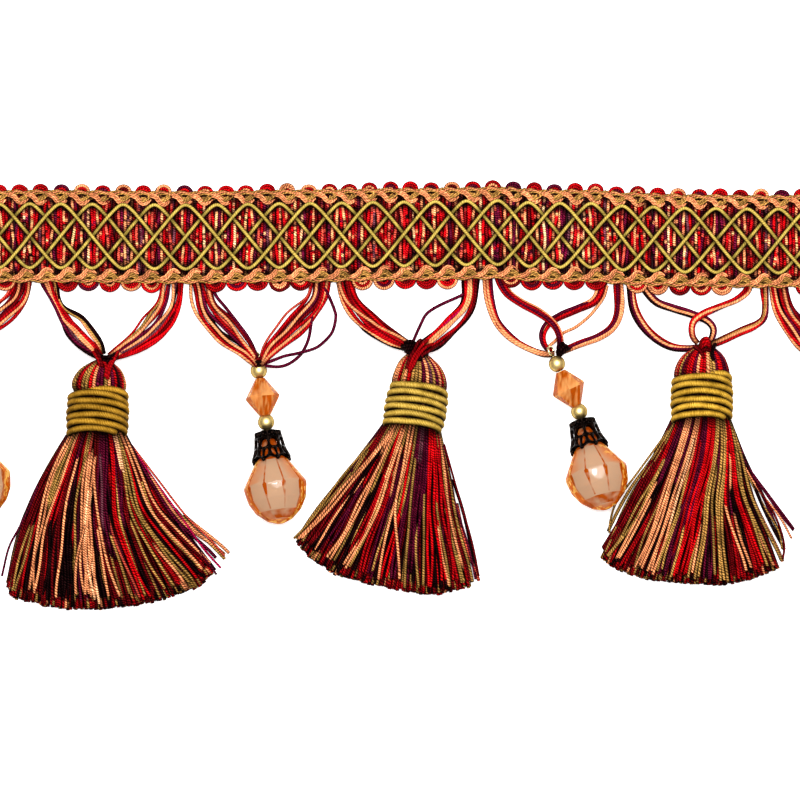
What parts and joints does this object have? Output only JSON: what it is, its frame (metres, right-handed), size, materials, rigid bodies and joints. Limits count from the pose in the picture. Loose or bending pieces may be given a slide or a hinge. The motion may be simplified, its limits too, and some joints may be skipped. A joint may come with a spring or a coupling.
{
  "type": "beaded tassel fringe",
  "caption": "Cut length of upholstery trim: a flat woven heading with a gimp lattice, and yarn loops along its lower edge that carry bound tassels and bead drops in turn.",
  "frame": {"origin": "on the heading's flat underside, at the middle of its length and near the middle of its width", "axes": "+X along the heading, +Y from the loops towards the heading's plain upper edge, +Z out of the cloth's face, away from the surface that it lies on"},
  "size_m": [0.26, 0.1063, 0.0158],
  "materials": {
    "ground_yarn": "twisted yarn in crimson, burgundy, plum and peach",
    "chain_yarn": "chained braid of peach and tan yarn",
    "gold_gimp": "satin gimp cord in olive gold",
    "loop_yarn": "twisted yarn in crimson, plum and peach",
    "tassel_yarn": "twisted yarn in crimson, plum, peach and olive gold",
    "gold_metal": "polished gold plate",
    "amber_crystal": "faceted, amber",
    "peach_crystal": "faceted, clear peach",
    "dark_bronze": "blackened antique bronze"
  },
  "bodies": {
    "root": {"bead_drop_1_bicone": "amber_crystal", "bead_drop_1_cap": "dark_bronze", "bead_drop_1_drop": "peach_crystal", "bead_drop_1_eye_pin": "gold_metal", "bead_drop_1_lower_gold_bead": "gold_metal", "bead_drop_1_upper_gold_bead": "gold_metal", "bead_drop_2_bicone": "amber_crystal", "bead_drop_2_cap": "dark_bronze", "bead_drop_2_drop": "peach_crystal", "bead_drop_2_eye_pin": "gold_metal", "bead_drop_2_lower_gold_bead": "gold_metal", "bead_drop_2_upper_gold_bead": "gold_metal", "bead_drop_3_bicone": "amber_crystal", "bead_drop_3_cap": "dark_bronze", "bead_drop_3_drop": "peach_crystal", "bead_drop_3_eye_pin": "gold_metal", "bead_drop_3_lower_gold_bead": "gold_metal", "bead_drop_3_upper_gold_bead": "gold_metal", "bead_drop_4_bicone": "amber_crystal", "bead_drop_4_cap": "dark_bronze", "bead_drop_4_drop": "peach_crystal", "bead_drop_4_eye_pin": "gold_metal", "bead_drop_4_lower_gold_bead": "gold_metal", "bead_drop_4_upper_gold_bead": "gold_metal", "edge_chain_bottom": "chain_yarn", "edge_chain_top": "chain_yarn", "heading_ground": "ground_yarn", "lattice_cord_1": "gold_gimp", "lattice_cord_2": "gold_gimp", "lattice_cord_3": "gold_gimp", "lattice_cord_4": "gold_gimp", "loop_1_left": "loop_yarn", "loop_1_right": "loop_yarn", "loop_2_left": "loop_yarn", "loop_2_right": "loop_yarn", "loop_3_left": "loop_yarn", "loop_3_right": "loop_yarn", "loop_4_left": "loop_yarn", "loop_4_right": "loop_yarn", "loop_5_cross_left": "loop_yarn", "loop_5_cross_right": "loop_yarn", "loop_5_left": "loop_yarn", "loop_5_right": "loop_yarn", "loop_6_cross_left": "loop_yarn", "loop_6_cross_right": "loop_yarn", "loop_6_left": "loop_yarn", "loop_6_right": "loop_yarn", "loop_7_left": "loop_yarn", "loop_7_right": "loop_yarn", "tassel_1_binding": "gold_gimp", "tassel_1_yarn": "tassel_yarn", "tassel_2_binding": "gold_gimp", "tassel_2_yarn": "tassel_yarn", "tassel_3_binding": "gold_gimp", "tassel_3_yarn": "tassel_yarn"}
  },
  "joints": []
}
